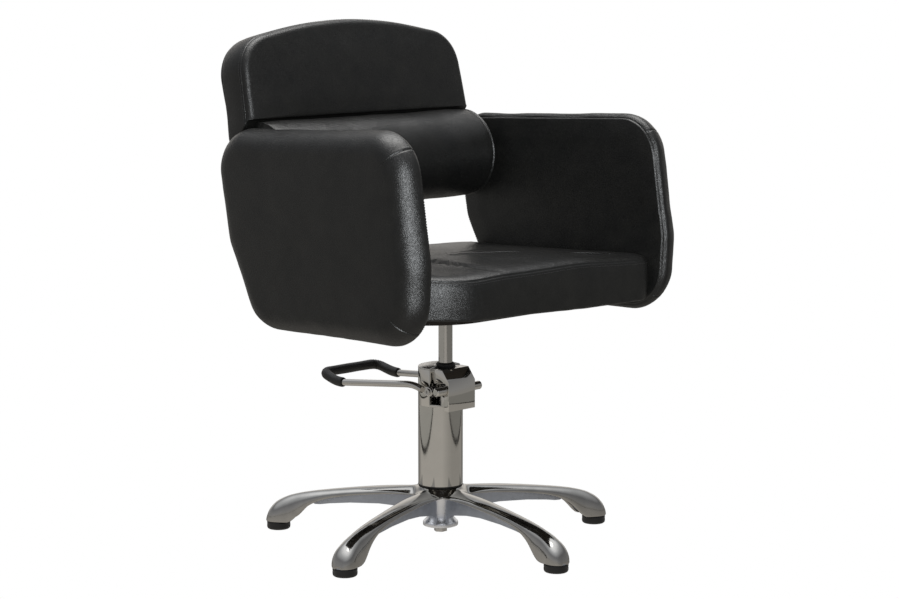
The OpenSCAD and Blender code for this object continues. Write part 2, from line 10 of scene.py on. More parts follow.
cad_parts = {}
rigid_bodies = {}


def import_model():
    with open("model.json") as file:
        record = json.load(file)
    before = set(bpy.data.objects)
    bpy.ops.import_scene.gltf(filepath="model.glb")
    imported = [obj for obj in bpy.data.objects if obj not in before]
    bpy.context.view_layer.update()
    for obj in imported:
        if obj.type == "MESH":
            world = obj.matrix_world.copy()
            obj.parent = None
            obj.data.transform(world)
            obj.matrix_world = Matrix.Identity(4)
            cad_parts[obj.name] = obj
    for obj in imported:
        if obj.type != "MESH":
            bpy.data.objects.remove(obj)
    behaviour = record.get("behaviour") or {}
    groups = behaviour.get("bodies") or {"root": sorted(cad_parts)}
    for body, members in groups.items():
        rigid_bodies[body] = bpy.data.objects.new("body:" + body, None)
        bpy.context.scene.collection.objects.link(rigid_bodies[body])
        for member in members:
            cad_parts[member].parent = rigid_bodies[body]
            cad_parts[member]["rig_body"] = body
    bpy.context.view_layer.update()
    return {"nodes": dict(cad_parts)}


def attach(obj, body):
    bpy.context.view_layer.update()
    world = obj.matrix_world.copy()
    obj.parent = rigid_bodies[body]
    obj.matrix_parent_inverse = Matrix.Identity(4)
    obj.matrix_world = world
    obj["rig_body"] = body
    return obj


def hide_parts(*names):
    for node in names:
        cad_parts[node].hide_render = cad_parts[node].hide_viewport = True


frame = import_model()
NODES = frame["nodes"]
MM = 0.001
NORMAL_STEP = 0.2
ROUND_DART = (-6, -4, -2.8, -1.9, -1.2, -0.6, 0, 0.6, 1.2, 1.9, 2.8, 4, 6)


# ---------------------------------------------------------------- mesh helpers

def add_piece(name, verts, faces, body, material, replaces=(), sharp=None):
    """A smooth mesh piece that rides on a body and stands for CAD nodes."""
    mesh = bpy.data.meshes.new(name)
    mesh.from_pydata([tuple(v) for v in verts], [], [tuple(f) for f in faces])
    return finish_piece(name, mesh, body, material, replaces, sharp)


def finish_piece(name, mesh, body, material, replaces=(), sharp=None):
    bm = bmesh.new()
    bm.from_mesh(mesh)
    bmesh.ops.remove_doubles(bm, verts=bm.verts, dist=2e-6)
    bmesh.ops.recalc_face_normals(bm, faces=bm.faces)
    bm.to_mesh(mesh)
    bm.free()
    mesh.shade_smooth()
    if sharp:
        mesh.set_sharp_from_angle(angle=math.radians(sharp))
    mesh.materials.append(material)
    piece = bpy.data.objects.new(name, mesh)
    bpy.context.scene.collection.objects.link(piece)
    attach(piece, body)
    if replaces:
        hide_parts(*replaces)
    return piece


def modified(piece, kind, **settings):
    """Adds a modifier and applies it."""
    modifier = piece.modifiers.new(kind.lower(), kind)
    for key, value in settings.items():
        setattr(modifier, key, value)
    bake_modifiers(piece)


def bake_modifiers(piece):
    graph = bpy.context.evaluated_depsgraph_get()
    mesh = bpy.data.meshes.new_from_object(piece.evaluated_get(graph), depsgraph=graph)
    old = piece.data
    piece.modifiers.clear()
    piece.data = mesh
    bpy.data.meshes.remove(old)


def softened(node, material, width):
    """A copy of a hard CAD node with its sharp edges rounded."""
    sharp = math.radians(40)
    source = NODES[node]
    mesh = source.data.copy()
    bm = bmesh.new()
    bm.from_mesh(mesh)
    bmesh.ops.remove_doubles(bm, verts=bm.verts, dist=1e-6)
    bmesh.ops.dissolve_limit(bm, angle_limit=math.radians(0.6), verts=bm.verts, edges=bm.edges)
    bm.to_mesh(mesh)
    bm.free()
    mesh.materials.clear()
    piece = finish_piece(node + "_detail", mesh, source["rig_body"], material, (node,))
    modified(piece, "BEVEL", width=width * MM, segments=2, limit_method="ANGLE", angle_limit=sharp,
             use_clamp_overlap=True, harden_normals=False)
    piece.data.shade_smooth()
    piece.data.set_sharp_from_angle(angle=sharp)


def loft(rings, ends=(0, -1)):
    """Verts and faces of a skin over rings of equal length; a fan closes each of the ends."""
    count = len(rings[0])
    verts = [p for ring in rings for p in ring]
    faces = []
    for i in range(len(rings) - 1):
        for j in range(count):
            k = (j + 1) % count
            faces.append((i * count + j, i * count + k, (i + 1) * count + k, (i + 1) * count + j))
    for end in ends:
        start = end % len(rings) * count
        centre = len(verts)
        verts.append(np.mean(rings[end], axis=0))
        faces += [(start + j, start + (j + 1) % count, centre) for j in range(count)]
    return verts, faces


def add_loft(verts, faces, rings, ends=(0, -1)):
    """Adds the skin over rings to verts and faces, and tells where its own verts start."""
    start = len(verts)
    more_verts, more_faces = loft(rings, ends)
    verts += more_verts
    faces += [tuple(start + k for k in face) for face in more_faces]
    return start


def resample(path, step):
    """Points at even steps along a path."""
    lengths = np.concatenate([[0], np.cumsum(np.linalg.norm(np.diff(path, axis=0), axis=1))])
    spots = np.linspace(0, lengths[-1], max(2, int(round(lengths[-1] / step)) + 1))
    return np.stack([np.interp(spots, lengths, path[:, k]) for k in range(path.shape[1])], axis=1)


def sweep(path, radius, sides):
    """Rings of a round rod along a path; radius may be one number or one for each point."""
    path = np.array(path, float)
    radius = np.broadcast_to(radius, len(path))
    along = np.gradient(path, axis=0)
    along /= np.linalg.norm(along, axis=1)[:, None]
    up = np.array([0, 0, 1.0])
    turn = np.linspace(0, 2 * math.pi, sides, endpoint=False)
    rings = []
    for p, t, r in zip(path, along, radius):
        side = np.cross(t, up)
        side /= np.linalg.norm(side)
        top = np.cross(side, t)
        rings.append(p + r * (np.cos(turn)[:, None] * side + np.sin(turn)[:, None] * top))
    return rings


def lathe(profile, centre, sides=96):
    """Rings of a turned shape from (radius, height) pairs."""
    turn = np.linspace(0, 2 * math.pi, sides, endpoint=False)
    return [np.stack([centre[0] + r * np.cos(turn), centre[1] + r * np.sin(turn),
                      np.full(sides, centre[2] + z)], axis=1) for r, z in profile]


def ripple(points, wavelength, seed, waves=14):
    """Smooth random waves, about -1 to 1, that depend only on place."""
    rng = np.random.default_rng(seed)
    total = np.zeros(len(points))
    for _ in range(waves):
        direction = rng.normal(size=3)
        direction *= rng.uniform(0.7, 1.4) / np.linalg.norm(direction)
        total += np.sin(points @ direction * 2 * math.pi / wavelength + rng.uniform(0, 2 * math.pi))
    return total / math.sqrt(waves / 2) / 1.6


def length_at(lengths, angle):
    """Length along a hull's outline where its normal points to an angle, in degrees."""
    return lengths[int(round(angle % 360 / NORMAL_STEP))]


def hull_outline(circles, count, dense=()):
    """Convex outline round circles (a, b, r): points, outward normals and lengths along it.
    dense holds normal angles, in degrees, where the points stand closer."""
    c = np.array(circles, float)
    angles = np.radians(np.arange(0, 360, NORMAL_STEP))
    normals = np.stack([np.cos(angles), np.sin(angles)], axis=1)
    best = np.argmax(normals @ c[:, :2].T + c[:, 2], axis=1)
    points = c[best, :2] + c[best, 2][:, None] * normals
    points = np.vstack([points, points[:1]])
    normals = np.vstack([normals, normals[:1]])
    lengths = np.concatenate([[0], np.cumsum(np.linalg.norm(np.diff(points, axis=0), axis=1))])
    spots = list(np.linspace(0, lengths[-1], count, endpoint=False))
    for angle in dense:
        at = length_at(lengths, angle)
        spots = [s for s in spots if abs(s - at) > 6.5]
        spots += list(at + np.array(ROUND_DART))
    spots = np.array(sorted(spots))
    at = np.stack([np.interp(spots, lengths, points[:, k]) for k in (0, 1)], axis=1)
    out = np.stack([np.interp(spots, lengths, normals[:, k]) for k in (0, 1)], axis=1)
    out /= np.linalg.norm(out, axis=1)[:, None]
    return at, out, spots, lengths


def stitch_row(name, path, normals, pitch=4.4, length=3.0, radius=0.42):
    """A row of thread stitches lying on a sewn band, in millimetres along the path."""
    path = np.vstack([path, path[:1]])
    normals = np.vstack([normals, normals[:1]])
    lengths = np.concatenate([[0], np.cumsum(np.linalg.norm(np.diff(path, axis=0), axis=1))])
    total = int(lengths[-1] / pitch)
    starts = np.linspace(0, lengths[-1], total, endpoint=False)

    def sample(values, at):
        at = at % lengths[-1]
        return np.stack([np.interp(at, lengths, values[:, k]) for k in range(3)], axis=1)

    verts, faces = [], []
    turn = np.linspace(0, 2 * math.pi, 6, endpoint=False)
    spans = [(-0.5, 0.35), (-0.3, 1.0), (0.3, 1.0), (0.5, 0.35)]
    centre = starts + length / 2
    along = sample(path, centre + length / 2) - sample(path, centre - length / 2)
    along /= np.linalg.norm(along, axis=1)[:, None]
    out = sample(normals, centre)
    side = np.cross(along, out)
    side /= np.linalg.norm(side, axis=1)[:, None]
    for i in range(total):
        base = len(verts)
        for share, size in spans:
            rise = 0.1 if size == 1.0 else -0.25
            p = sample(path, centre[i:i + 1] + share * length)[0] + out[i] * rise
            for a in turn:
                verts.append((p + radius * size * (math.cos(a) * side[i] + math.sin(a) * out[i])) * MM)
        for k in range(3):
            for j in range(6):
                m = (j + 1) % 6
                faces.append((base + 6 * k + j, base + 6 * k + m, base + 6 * k + 6 + m, base + 6 * k + 6 + j))
        faces.append(tuple(base + j for j in range(6)))
        faces.append(tuple(base + 18 + j for j in range(6)))
    add_piece(name, verts, faces, "seat", THREAD)


def add_pad(name, rings, node, ends=(0, -1)):
    """A leather skin over rings in millimetres, which stands for one of the CAD's pads."""
    verts, faces = loft(rings, ends)
    return add_piece(name, [v * MM for v in verts], faces, "seat", LEATHER, (node,))


def swell(piece, most, seam_points, reach):
    """Blows the pad's skin out as cloth, then carries the swelling over to the sewn mesh.
    most is the furthest that a point may move, in metres. The seams, in millimetres, stay put,
    and points nearer to them than reach, in metres, move less."""
    pressure, voxel = 4.0, 0.008
    skin = bpy.data.objects.new(piece.name + "_skin", piece.data.copy())
    bpy.context.scene.collection.objects.link(skin)
    modified(skin, "REMESH", mode="VOXEL", voxel_size=voxel)
    before = np.array([v.co for v in skin.data.vertices])
    cloth = skin.modifiers.new("cloth", "CLOTH")
    cloth.settings.use_pressure = True
    cloth.settings.uniform_pressure_force = pressure
    cloth.settings.effector_weights.gravity = 0
    cloth.settings.quality = 5
    scene = bpy.context.scene
    for step in range(1, 21):
        scene.frame_set(step)
    graph = bpy.context.evaluated_depsgraph_get()
    after = np.array([v.co for v in skin.evaluated_get(graph).data.vertices])
    scene.frame_set(1)
    moved = after - before
    moved -= moved.mean(axis=0)
    moved *= most / max(np.percentile(np.linalg.norm(moved, axis=1), 97), 1e-6)
    far = np.linalg.norm(moved, axis=1)
    moved *= np.minimum(1, most / np.maximum(far, 1e-9))[:, None]
    bpy.data.objects.remove(skin)
    tree = kdtree.KDTree(len(before))
    for i, p in enumerate(before):
        tree.insert(p, i)
    tree.balance()
    held = kdtree.KDTree(len(seam_points))
    for i, p in enumerate(seam_points):
        held.insert(Vector(p * MM), i)
    held.balance()
    for vertex in piece.data.vertices:
        near = tree.find_n(vertex.co, 6)
        weights = np.array([1 / (d + 0.001) ** 2 for _, _, d in near])
        shift = (moved[[i for _, i, _ in near]] * weights[:, None]).sum(axis=0) / weights.sum()
        loose = min(1.0, held.find(vertex.co)[2] / reach)
        vertex.co += Vector(shift * loose * loose * (3 - 2 * loose))


def move_verts(piece, change):
    """Adds change(points in mm, normals) in mm to every vertex."""
    mesh = piece.data
    co = np.array([v.co for v in mesh.vertices]) / MM
    no = np.array([v.normal for v in mesh.vertices])
    new = (co + change(co, no)) * MM
    mesh.vertices.foreach_set("co", new.astype(np.float32).ravel())
    mesh.update()


# ---------------------------------------------------------------- materials

def material_nodes(name):
    material = bpy.data.materials.new(name)
    material.use_nodes = True
    tree = material.node_tree
    return material, tree, tree.nodes["Principled BSDF"]


def link(tree, source, output, target, socket):
    tree.links.new(source.outputs[output], target.inputs[socket])


def place_node(tree, scale=(1, 1, 1), turn=(0, 0, 0)):
    """Object coordinates, stretched and turned."""
    where = tree.nodes.new("ShaderNodeTexCoord")
    mapping = tree.nodes.new("ShaderNodeMapping")
    mapping.inputs["Scale"].default_value = scale
    mapping.inputs["Rotation"].default_value = [math.radians(a) for a in turn]
    link(tree, where, "Object", mapping, "Vector")
    return mapping


def noise_node(tree, place, scale, detail=3.0, roughness=0.5):
    node = tree.nodes.new("ShaderNodeTexNoise")
    node.inputs["Scale"].default_value = scale
    node.inputs["Detail"].default_value = detail
    node.inputs["Roughness"].default_value = roughness
    link(tree, place, "Vector", node, "Vector")
    return node


def ramp_node(tree, source, output, low, high, span=(0.0, 1.0)):
    """Maps a value to the range low to high."""
    node = tree.nodes.new("ShaderNodeMapRange")
    node.inputs["From Min"].default_value = span[0]
    node.inputs["From Max"].default_value = span[1]
    node.inputs["To Min"].default_value = low
    node.inputs["To Max"].default_value = high
    link(tree, source, output, node, "Value")
    return node


def color_mix(tree, source, output, dark, light, span=(0.3, 0.7)):
    node = tree.nodes.new("ShaderNodeValToRGB")
    node.color_ramp.elements[0].position = span[0]
    node.color_ramp.elements[1].position = span[1]
    node.color_ramp.elements[0].color = (*dark, 1)
    node.color_ramp.elements[1].color = (*light, 1)
    link(tree, source, output, node, "Fac")
    return node


def math_node(tree, operation, a, b):
    node = tree.nodes.new("ShaderNodeMath")
    node.operation = operation
    for socket, value in ((0, a), (1, b)):
        if isinstance(value, tuple):
            tree.links.new(value[0].outputs[value[1]], node.inputs[socket])
        else:
            node.inputs[socket].default_value = value
    return node


def add_bump(tree, source, output, shader, strength, distance):
    node = tree.nodes.new("ShaderNodeBump")
    node.inputs["Strength"].default_value = strength
    node.inputs["Distance"].default_value = distance
    link(tree, source, output, node, "Height")
    link(tree, node, "Normal", shader, "Normal")


def tint_base(tree, source, shader, color, tone):
    """Lets the base colour drift a little both ways."""
    dark = tuple(c * (1 - tone) for c in color)
    light = tuple(min(1, c * (1 + tone)) for c in color)
    link(tree, color_mix(tree, source, "Fac", dark, light), "Color", shader, "Base Color")


def leatherette(name, base=0.0044):
    """Black coated fabric with a fine pebble and a soft diagonal crosshatch."""
    material, tree, shader = material_nodes(name)
    place = place_node(tree)
    pebble = tree.nodes.new("ShaderNodeTexVoronoi")
    pebble.feature = "DISTANCE_TO_EDGE"
    pebble.inputs["Scale"].default_value = 480
    link(tree, place, "Vector", pebble, "Vector")
    lobes = ramp_node(tree, pebble, "Distance", 0.0, 1.0, (0.0, 0.35))
    one = noise_node(tree, place_node(tree, (1, 1, 0.55), (42, 28, 0)), 420, 2.0, 0.55)
    two = noise_node(tree, place_node(tree, (1, 1, 0.55), (-42, -28, 0)), 420, 2.0, 0.55)
    hatch = math_node(tree, "MAXIMUM", (one, "Fac"), (two, "Fac"))
    height = math_node(tree, "MULTIPLY_ADD", (hatch, "Value"), 1.5)
    tree.links.new(lobes.outputs["Result"], height.inputs[2])
    slow = noise_node(tree, place, 26, 4.0, 0.6)
    tint = color_mix(tree, slow, "Fac", (base * 0.8, base * 0.82, base * 0.8),
                     (base * 1.35, base * 1.33, base * 1.22))
    link(tree, tint, "Color", shader, "Base Color")
    wear = noise_node(tree, place, 190, 3.0, 0.6)
    rough = ramp_node(tree, wear, "Fac", 0.27, 0.37, (0.3, 0.7))
    link(tree, rough, "Result", shader, "Roughness")
    shader.inputs["IOR"].default_value = 1.39
    add_bump(tree, height, "Value", shader, 0.4, 0.0004)
    return material


def metal(name, color, rough, tone=0.06, smudge=30.0, grain=0.0, cast=0.0, anisotropic=False):
    """Metal whose colour and gloss vary softly; grain is a fine scratch, cast a sandy relief."""
    material, tree, shader = material_nodes(name)
    shader.inputs["Metallic"].default_value = 1.0
    place = place_node(tree)
    slow = noise_node(tree, place, smudge, 4.0, 0.6)
    tint_base(tree, slow, shader, color, tone)
    fine = noise_node(tree, place_node(tree, (1, 1, 0.04) if anisotropic else (1, 1, 1)), 900, 2.0)
    both = math_node(tree, "ADD", (slow, "Fac"), (fine, "Fac"))
    link(tree, ramp_node(tree, both, "Value", rough * 0.75, rough * 1.35, (0.7, 1.3)), "Result",
         shader, "Roughness")
    if cast:
        sand = noise_node(tree, place, 380, 5.0, 0.7)
        add_bump(tree, sand, "Fac", shader, cast, 0.0012)
    elif grain:
        add_bump(tree, fine, "Fac", shader, grain, 0.0001)
    return material


def plastic(name, color, rough, relief=0.1, scale=700.0):
    """Moulded plastic, rubber or paint."""
    material, tree, shader = material_nodes(name)
    place = place_node(tree)
    slow = noise_node(tree, place, 45, 4.0, 0.6)
    tint_base(tree, slow, shader, color, 0.15)
    fine = noise_node(tree, place, scale, 3.0)
    link(tree, ramp_node(tree, slow, "Fac", rough * 0.85, rough * 1.15, (0.3, 0.7)), "Result",
         shader, "Roughness")
    add_bump(tree, fine, "Fac", shader, relief, 0.0003)
    return material


def wood(name, dark, light):
    material, tree, shader = material_nodes(name)
    place = place_node(tree, (1, 9, 9))
    grain = noise_node(tree, place, 22, 6.0, 0.65)
    link(tree, color_mix(tree, grain, "Fac", dark, light), "Color", shader, "Base Color")
    shader.inputs["Roughness"].default_value = 0.7
    add_bump(tree, grain, "Fac", shader, 0.15, 0.0006)
    return material


LEATHER = leatherette("black_leatherette")
THREAD = plastic("black_thread", (0.05, 0.05, 0.052), 0.42, relief=0.4, scale=2200)
CHROME = metal("chrome_plate", (0.65, 0.635, 0.60), 0.06, 0.03)
CHROME_ROD = metal("ground_chrome_rod", (0.60, 0.585, 0.56), 0.10, 0.03, grain=0.05, anisotropic=True)
POLISHED = metal("polished_aluminium", (0.43, 0.422, 0.405), 0.1, 0.09, smudge=45, grain=0.12)
TURNED = metal("turned_aluminium", (0.9, 0.915, 0.95), 0.3, 0.05)
CAST = metal("cast_aluminium", (0.5, 0.53, 0.59), 0.5, 0.12, smudge=60, cast=0.5)
BRIGHT = metal("bright_steel", (0.62, 0.61, 0.59), 0.16, 0.06)
SATIN = metal("satin_steel_cap", (0.66, 0.66, 0.65), 0.3, 0.05, grain=0.1)
DARK = metal("dark_lever_casting", (0.10, 0.098, 0.095), 0.34, 0.15, smudge=80, cast=0.25)
BLACK_STEEL = plastic("black_painted_steel", (0.012, 0.012, 0.012), 0.42)
BRONZE = metal("bearing_bronze", (0.45, 0.28, 0.12), 0.3, 0.1)
RUBBER = plastic("black_rubber", (0.012, 0.0115, 0.011), 0.55, relief=0.2)
GRIP = plastic("grip_rubber", (0.013, 0.012, 0.011), 0.48, relief=0.25, scale=500)
PLASTIC = plastic("black_glide_plastic", (0.010, 0.010, 0.0105), 0.36)
PLY = wood("stained_plywood", (0.012, 0.010, 0.008), (0.03, 0.022, 0.015))

CARRIED = {
    "glide_screws": BRIGHT, "gasket_ring": RUBBER, "column_plug": BRIGHT, "pump_column": CHROME,
    "inner_cylinder": BRIGHT, "guide_bush": BRONZE, "plunger_barrel": BRIGHT, "plunger": BRIGHT,
    "plunger_spring": BRIGHT, "piston_head": BRIGHT, "thrust_ball": BRIGHT, "piston_rod": CHROME_ROD,
    "seat_board": PLY, "arm_core_left": PLY, "arm_core_right": PLY, "back_board": PLY,
}
for node_name, node_material in CARRIED.items():
    NODES[node_name].data.materials.clear()
    NODES[node_name].data.materials.append(node_material)

SOFTENED = {
    "base_washer": ("bright_steel", BRIGHT, 0.5), "base_bolt": ("bright_steel", BRIGHT, 0.6),
    "pump_head": ("chrome", CHROME, 0.5), "hood": ("chrome", CHROME, 0.45),
    "head_cap": ("satin_steel", SATIN, 0.5), "wiper_collar": ("black_rubber", RUBBER, 0.5),
    "lever_hub": ("dark_steel", DARK, 0.7), "cross_shaft": ("chrome", CHROME, 0.5),
    "lever_bolts": ("bright_steel", BRIGHT, 0.4), "seat_hub": ("black_steel", BLACK_STEEL, 0.6),
    "mount_plate": ("black_steel", BLACK_STEEL, 0.6), "mount_bolts": ("bright_steel", BRIGHT, 0.5),
    "arm_bracket_left": ("black_steel", BLACK_STEEL, 0.5),
    "arm_bracket_right": ("black_steel", BLACK_STEEL, 0.5),
    "bracket_bolts": ("bright_steel", BRIGHT, 0.4), "arm_bolts": ("bright_steel", BRIGHT, 0.4),
    "back_bracket_left": ("black_steel", BLACK_STEEL, 0.5),
    "back_bracket_right": ("black_steel", BLACK_STEEL, 0.5),
    "back_bolts": ("bright_steel", BRIGHT, 0.4),
}
for node_name, (slot_name, node_material, width) in SOFTENED.items():
    softened(node_name, node_material, width)


# ---------------------------------------------------------------- arms

ARM_X = 282
ARM_CORNERS = [[160, 667, 70], [152, 530, 100], [176, 481, 73], [-104, 462, 60], [-146, 560, 69],
               [-172, 661, 62]]
ARM_TOE = math.radians(1.45)
ARM_PIVOT = 250
ARM_CENTRE = np.array([15.0, 568.0])
ARM_THICK = 51.2
ARM_ROUND = 40
FACE_EDGE = -38
DARTS = (138, 223)


def arm_spot(side, points):
    """From an arm's own frame to the chair's: each arm turns inwards towards the rear."""
    u, v = points[:, 0] - ARM_X, points[:, 1] + ARM_PIVOT
    return np.column_stack([side * (ARM_X + u * math.cos(ARM_TOE) - v * math.sin(ARM_TOE)),
                            -ARM_PIVOT + u * math.sin(ARM_TOE) + v * math.cos(ARM_TOE), points[:, 2]])


def arm_frame(side, points):
    """From the chair's frame to an arm's own."""
    u, v = side * points[:, 0] - ARM_X, points[:, 1] + ARM_PIVOT
    return np.column_stack([ARM_X + u * math.cos(ARM_TOE) + v * math.sin(ARM_TOE),
                            -ARM_PIVOT - u * math.sin(ARM_TOE) + v * math.cos(ARM_TOE), points[:, 2]])


def arm_rings(at, out):
    """Rings (y, z, depth from the inner face outwards) of an arm pad, and which one is its seam."""
    rings = []

    def ring(depth, off, share=1.0):
        p = ARM_CENTRE + (at + off * out - ARM_CENTRE) * share
        rings.append(np.column_stack([p, np.full(len(p), depth)]))

    shares = (0.06, 0.14, 0.24, 0.34, 0.44, 0.54, 0.64, 0.74, 0.84, 0.93)
    for share in shares:
        ring(-3.0 * (1 - 0.25 * share ** 2), FACE_EDGE, share)
    for off in (FACE_EDGE, -31, -25, -19.5, -15, -11.5, -8.5, -6, -4.2, -2.8, -1.8):
        ring(-2.3 * (1 - math.exp(off / 14)) / (1 - np.exp(FACE_EDGE / 30)), off)
    seam_index = len(rings) + 1
    for depth, off in ((0.5, -1.0), (1.5, -0.7), (1.9, 0.1), (2.2, 1.0), (2.7, 2.0), (3.6, 3.3), (4.8, 4.6),
                       (6.2, 5.8), (8.0, 7.0), (10.2, 7.8)):
        ring(depth, off)
    for angle in np.radians(np.linspace(0, 90, 19)):
        ring(11 + ARM_ROUND * math.sin(angle), 8 - ARM_ROUND + ARM_ROUND * math.cos(angle))
    ring(ARM_THICK, FACE_EDGE)
    for share in reversed(shares):
        ring(ARM_THICK + 0.8 * (1 - share), FACE_EDGE, share)
    return rings, seam_index


def build_arm(side, name, seed):
    """One slab arm: a sewn inner face, a rounded outer side, darts and a row of stitches."""
    circles = [(-k, z, r) for k, z, r in ARM_CORNERS]
    at, out, spots, lengths = hull_outline(circles, 300, DARTS)
    rings, seam_index = arm_rings(at, out)
    place = [arm_spot(side, np.column_stack([ARM_X + r[:, 2], r[:, 0], r[:, 1]])) for r in rings]
    piece = add_pad(name, place, "arm_pad_left" if side > 0 else "arm_pad_right")
    swell(piece, 0.0032, place[seam_index], 0.03)
    dart_at = [length_at(lengths, angle) for angle in DARTS]

    def detail(co, normal):
        own = arm_frame(side, co)
        flat = own[:, 1:3]
        nearest = np.argmin(((flat[:, None, :] - at[None, ::2, :]) ** 2).sum(axis=2), axis=1) * 2
        gone, away = flat - at[nearest], out[nearest]
        run = spots[nearest] + (gone * np.column_stack([-away[:, 1], away[:, 0]])).sum(axis=1)
        off = (gone * away).sum(axis=1)
        depth = own[:, 0] - ARM_X
        shift = 0.55 * ripple(co, 120, seed) + 0.16 * ripple(co, 38, seed + 1)
        edge = np.exp(-((np.hypot(off, depth - 1)) / 11) ** 1.5)
        shift += 0.16 * edge * ripple(co, 13, seed + 2)
        band = (depth > 2.5) & (off > -34)
        taper = np.clip((off + 34) / 14, 0, 1)
        for at_dart in dart_at:
            gap = run - at_dart
            groove = -1.1 * np.exp(-(gap / 1.15) ** 2) + 0.3 * np.exp(-((np.abs(gap) - 3.4) / 2.0) ** 2)
            shift += np.where(band, groove * taper, 0)
            shift += np.where(band, -0.25 * np.exp(-(gap / 14) ** 2) * taper, 0)
        shift[np.hypot(off, depth - 1.2) < 1.4] *= 0.2
        return normal * shift[:, None]

    move_verts(piece, detail)
    p = at + 4.1 * out
    path = np.column_stack([np.full(len(p), ARM_X + 4.6), p])
    lean = path + np.column_stack([np.full(len(p), -0.62), 0.78 * out])
    path, lean = arm_spot(side, path), arm_spot(side, lean)
    stitch_row(name + "_topstitch", path, lean - path)


build_arm(1, "arm_upholstery_left", 11)
build_arm(-1, "arm_upholstery_right", 23)


# ---------------------------------------------------------------- seat

SEAT_HALF = 280
SEAT_FRONT = -236
SEAT_REAR = 214
SEAT_ROUND = {-1: 140, 1: 34}
SEAT_TAPER = (SEAT_REAR - SEAT_FRONT) * math.tan(ARM_TOE)


def seat_seam_z(x, y):
    """Height of the seat's top seam: high at the front, with a worn dip and a soft rise along it."""
    dip = 4.4 * np.exp(-((x + 185) / 60) ** 2)
    rise = 4.8 * np.exp(-((x - 85) / 95) ** 2)
    return 501 - (y - SEAT_FRONT) * math.tan(math.radians(1.8)) - 5.5 * x / SEAT_HALF - dip + rise


def seat_low_z(x):
    """Height of the skirt's hem."""
    corner = 2.6 * np.clip((np.abs(x) - 190) / 80, 0, 1) ** 1.5
    return 428.5 - 0.023 * x + corner


def build_seat():
    """The seat's pad: a domed top, a seam, a skirt with a turned-in hem, and stitches under the seam."""
    rear_round = 40
    circles = []
    for side in (-1, 1):
        corner = SEAT_ROUND[side]
        reach = SEAT_HALF - corner * math.tan(ARM_TOE)
        circles.append((side * (reach - corner), SEAT_FRONT + corner, corner))
        rear_x = SEAT_HALF - SEAT_TAPER - rear_round
        circles.append((side * rear_x, SEAT_REAR - rear_round, rear_round))
    at, out = hull_outline(circles, 380)[:2]
    centre = np.array([0.0, -5.0])
    rings = []

    def ring(off, share, rise, low):
        p = centre + (at + off * out - centre) * share
        top = seat_seam_z(p[:, 0], p[:, 1])
        if low is None:
            z = top + rise
        else:
            z = top + (seat_low_z(p[:, 0]) - top) * low + rise
        rings.append(np.column_stack([p, z]))

    for share in (0.05, 0.12, 0.2, 0.29, 0.38, 0.47, 0.56, 0.65, 0.74, 0.83, 0.91):
        ring(-40, share, 9.0 + 2.5 * (1 - share ** 2), None)
    for off in (-40, -33, -27, -22, -17.5, -13.5, -10, -7.2, -5, -3.4, -2.2, -1.3):
        ring(off, 1, 9.2 * (1 - math.exp(off / 11)) / (1 - math.exp(-40 / 11)), None)
    ring(-0.9, 1, -0.9, None)
    seam_index = len(rings)
    ring(-0.9, 1, -1.9, None)
    for off, down in ((0.1, 2.6), (0.9, 3.6), (1.3, 5.2), (1.5, 7.5)):
        ring(off, 1, -down, None)
    for low in (0.16, 0.26, 0.38, 0.5, 0.62, 0.74, 0.85, 0.92):
        ring(1.5 + 2.0 * math.sin(math.pi * min(1, low * 1.05)), 1, 0, low)
    for off, low, rise in ((1.4, 0.96, 0), (0.4, 0.985, 0), (-1.4, 1.0, 0.2), (-4, 1.0, 0), (-10, 1.0, 0.6),
                           (-13.2, 1.0, 1.5)):
        ring(off, 1, rise, low)
    piece = add_pad("seat_upholstery", rings, "seat_cushion", ends=(0,))
    swell(piece, 0.006, np.vstack([rings[seam_index], rings[-1]]), 0.045)

    def detail(co, normal):
        x, y, z = co.T
        seam = seat_seam_z(x, y)
        half = SEAT_HALF - (y - SEAT_FRONT) * math.tan(ARM_TOE)
        edge = np.minimum.reduce([half - np.abs(x), y - SEAT_FRONT, SEAT_REAR - y])
        shift = 0.6 * ripple(co, 130, 31) + 0.2 * ripple(co, 45, 32)
        near = np.exp(-(np.clip(edge, 0, None) / 16) ** 1.3) * np.exp(-(np.abs(z - seam) / 14) ** 1.4)
        shift += 0.2 * near * ripple(co, 14, 33)
        hem = np.exp(-((z - seat_low_z(x)) / 8) ** 2) * (normal[:, 2] > -0.9)
        shift += 0.6 * hem * ripple(co, 24, 34)
        return normal * shift[:, None]

    move_verts(piece, detail)
    p = at + 1.9 * out
    z = seat_seam_z(p[:, 0], p[:, 1]) - 7.0
    stitch_row("seat_topstitch", np.column_stack([p, z]), np.column_stack([out, np.zeros(len(p))]))


build_seat()


# ---------------------------------------------------------------- back

LEAN = math.radians(12)
BACK_Y, BACK_Z = 200, 658
BACK_HALF = 263
BACK_TOP = 255
BACK_ARCH = 22
BACK_ROUND = 72
BACK_FLARE = 5
ARCH_ROUND = 60
CREASE = 83
BOLSTER_R = 80
BOLSTER_HALF = 249


def in_back(points):
    """From the back's leaning frame (x, y to the rear, s up the back) to the chair's."""
    x, y, s = np.array(points, float).T
    return np.column_stack([x, BACK_Y + y * math.cos(LEAN) + s * math.sin(LEAN),
                            BACK_Z - y * math.sin(LEAN) + s * math.cos(LEAN)])


